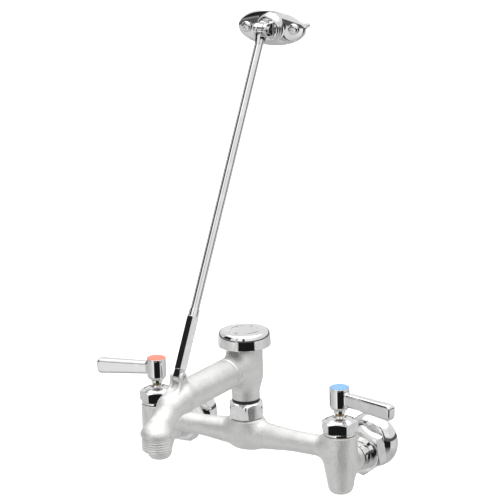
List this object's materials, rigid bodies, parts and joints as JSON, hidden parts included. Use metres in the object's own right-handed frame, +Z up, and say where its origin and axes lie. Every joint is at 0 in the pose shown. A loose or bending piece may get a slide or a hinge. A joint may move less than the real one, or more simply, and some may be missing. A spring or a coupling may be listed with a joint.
{
  "type": "service sink faucet",
  "caption": "Wall mounted service sink faucet with lever valves, a swivelling vacuum breaker spout with hose thread and a top brace to the wall.",
  "frame": {"origin": "on the wall plane, midway between the axes of the two supply inlets", "axes": "+X towards the cold side, +Z up, -Y out of the wall towards the user; +Y points into the wall"},
  "size_m": [0.3274, 0.2588, 0.44],
  "materials": {
    "rough_chrome": "satin",
    "polished_chrome": "polished",
    "steel": "satin",
    "brass": "satin",
    "black_rubber": "matte",
    "grey_fibre": "matte",
    "white_plastic": "matte",
    "ceramic": "satin",
    "hot_red": "gloss",
    "cold_blue": "gloss"
  },
  "bodies": {
    "body": {"body_casting": "rough_chrome", "swivel_nut": "polished_chrome", "hot_bonnet": "polished_chrome", "hot_bonnet_washer": "grey_fibre", "hot_valve_sleeve": "brass", "hot_fixed_disc": "ceramic", "hot_seat_seal": "black_rubber", "hot_tailpiece": "brass", "hot_coupling_nut": "polished_chrome", "hot_strainer": "steel", "hot_coupling_washer": "black_rubber", "hot_inlet_adapter": "brass", "hot_wall_flange": "polished_chrome", "cold_bonnet": "polished_chrome", "cold_bonnet_washer": "grey_fibre", "cold_valve_sleeve": "brass", "cold_fixed_disc": "ceramic", "cold_seat_seal": "black_rubber", "cold_tailpiece": "brass", "cold_coupling_nut": "polished_chrome", "cold_strainer": "steel", "cold_coupling_washer": "black_rubber", "cold_inlet_adapter": "brass", "cold_wall_flange": "polished_chrome"},
    "hot_handle": {"hot_lever": "polished_chrome", "hot_index": "hot_red", "hot_handle_screw": "steel", "hot_stem": "brass", "hot_stem_ring": "black_rubber", "hot_moving_disc": "ceramic"},
    "cold_handle": {"cold_lever": "polished_chrome", "cold_index": "cold_blue", "cold_handle_screw": "steel", "cold_stem": "brass", "cold_stem_ring": "black_rubber", "cold_moving_disc": "ceramic"},
    "spout": {"breaker_body": "rough_chrome", "spigot_rings": "black_rubber", "spigot_retainer": "brass", "swivel_ring": "black_rubber", "breaker_seat": "brass", "breaker_bonnet": "brass", "breaker_cap": "polished_chrome", "spout_tube": "rough_chrome", "clevis_pin": "steel"},
    "float": {"breaker_float": "white_plastic", "float_pads": "black_rubber"},
    "sleeve": {"brace_sleeve": "polished_chrome"},
    "rod": {"brace_rod": "polished_chrome"},
    "bracket": {"wall_bracket": "polished_chrome", "bracket_pin": "steel", "bracket_screws": "polished_chrome"}
  },
  "joints": [
    {"name": "hot_valve_turn", "type": "hinge", "parent": "body", "child": "hot_handle", "pos_m": [-0.1016, -0.066, 0.06], "axis": [0, 0, 1], "range_deg": [-11, 79]},
    {"name": "cold_valve_turn", "type": "hinge", "parent": "body", "child": "cold_handle", "pos_m": [0.1016, -0.066, 0.06], "axis": [0, 0, -1], "range_deg": [-11, 79]},
    {"name": "spout_swivel", "type": "hinge", "parent": "body", "child": "spout", "pos_m": [0, -0.066, 0.04], "axis": [0, 0, 1], "range_deg": [-30, 30]},
    {"name": "float_lift", "type": "slide", "parent": "spout", "child": "float", "axis": [0, 0, 1], "range_m": [0, 0.0045]},
    {"name": "brace_swing", "type": "hinge", "parent": "spout", "child": "sleeve", "pos_m": [0, -0.18, 0.0996], "axis": [1, 0, 0], "range_deg": [0, 60]},
    {"name": "brace_length", "type": "slide", "parent": "sleeve", "child": "rod", "axis": [0, 0.4836, 0.8753], "range_m": [-0.005, 0.02]},
    {"name": "bracket_tilt", "type": "hinge", "parent": "rod", "child": "bracket", "pos_m": [0, -0.019, 0.391], "axis": [1, 0, 0], "range_deg": [-40, 50]}
  ]
}
